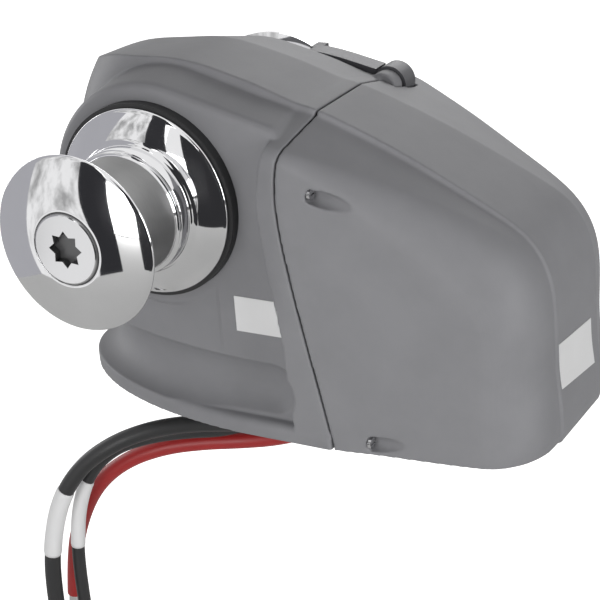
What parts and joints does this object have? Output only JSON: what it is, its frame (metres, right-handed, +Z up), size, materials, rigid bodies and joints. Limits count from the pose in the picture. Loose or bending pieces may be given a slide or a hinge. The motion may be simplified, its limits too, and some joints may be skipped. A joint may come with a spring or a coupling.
{
  "type": "anchor windlass",
  "caption": "Horizontal anchor windlass: warping drum and chain gypsy on one cross shaft, worm-driven by an electric motor under a moulded cover, with free-fall clutch and leads.",
  "frame": {"origin": "centre of the four deck bolts, on the base plane where the windlass meets the deck", "axes": "+X aft towards the motor cover, away from the anchor; +Y to the side of the chain gypsy, along the main shaft; +Z up from the deck"},
  "size_m": [0.4649, 0.3343, 0.5392],
  "materials": {
    "housing_paint": "satin grey paint on cast aluminium",
    "cover_paint": "fine-grained grey moulding",
    "lever_paint": "dark satin paint on cast aluminium",
    "drum_chrome": "polished chrome on bronze",
    "stainless": "stainless steel",
    "steel": "machined steel",
    "bronze": "cast bronze",
    "brass": "turned brass",
    "motor_black": "black enamel",
    "terminal_plastic": "black moulding",
    "seal_rubber": "black rubber",
    "lead_black": "black cable sheath",
    "lead_red": "red cable sheath",
    "lug_tin": "tinned copper"
  },
  "bodies": {
    "root": {"bearing_far": "steel", "bearing_near": "steel", "bottom_plate": "stainless", "bottom_plate_screws": "stainless", "cable_gland": "seal_rubber", "chain_pipe": "stainless", "chain_stripper": "stainless", "cover_screws": "stainless", "gear_housing": "housing_paint", "lead_black_control": "lead_black", "lead_black_main": "lead_black", "lead_red": "lead_red", "lever_pin": "stainless", "lever_spring": "steel", "lug_black_control": "lug_tin", "lug_black_main": "lug_tin", "lug_red": "lug_tin", "motor_bolts": "steel", "motor_case": "motor_black", "motor_cover": "cover_paint", "motor_end_cap": "motor_black", "motor_terminals": "terminal_plastic", "oil_plug": "brass", "seal_ring": "seal_rubber", "shaft_seal_far": "seal_rubber", "shaft_seal_near": "seal_rubber", "stripper_screws": "stainless", "worm_bearing_front": "steel", "worm_bearing_rear": "steel"},
    "shaft": {"main_shaft": "stainless", "drum_key": "steel", "wheel_key": "steel", "cone_key": "steel", "shaft_circlip": "steel", "worm_wheel": "bronze", "warping_drum": "drum_chrome", "drum_cap": "stainless", "inner_cone": "stainless"},
    "worm": {"worm_shaft": "steel", "coupling": "steel", "motor_rotor": "steel"},
    "gypsy": {"gypsy": "drum_chrome", "gypsy_bush": "bronze"},
    "cone": {"outer_cone": "stainless"},
    "nut": {"clutch_nut": "drum_chrome"},
    "lever": {"pressure_lever": "lever_paint"}
  },
  "joints": [
    {"name": "mainshaft_spin", "type": "hinge", "parent": "root", "child": "shaft", "pos_m": [-0.1, 0, 0.178], "axis": [0, 1, 0], "continuous": true},
    {"name": "worm_spin", "type": "hinge", "parent": "root", "child": "worm", "pos_m": [0, -0.02, 0.11], "axis": [1, 0, 0], "continuous": true},
    {"name": "gypsy_spin", "type": "hinge", "parent": "shaft", "child": "gypsy", "pos_m": [-0.1, 0.083, 0.178], "axis": [0, 1, 0], "continuous": true},
    {"name": "cone_slide", "type": "slide", "parent": "shaft", "child": "cone", "axis": [0, 1, 0], "range_m": [0, 0.002]},
    {"name": "nut_turn", "type": "hinge", "parent": "cone", "child": "nut", "pos_m": [-0.1, 0.118, 0.178], "axis": [0, 1, 0], "range_deg": [0, 360]},
    {"name": "lever_swing", "type": "hinge", "parent": "root", "child": "lever", "pos_m": [0.022, 0.069, 0.229], "axis": [0, 1, 0], "range_deg": [0, 25], "stiffness_Nm_per_rad": 0.6, "springref_deg": -28.65}
  ],
  "couplings": [
    {"joint": "worm_spin", "follows": "mainshaft_spin", "ratio": 30},
    {"joint": "cone_slide", "follows": "nut_turn", "m_per_rad": 0.00031831}
  ]
}
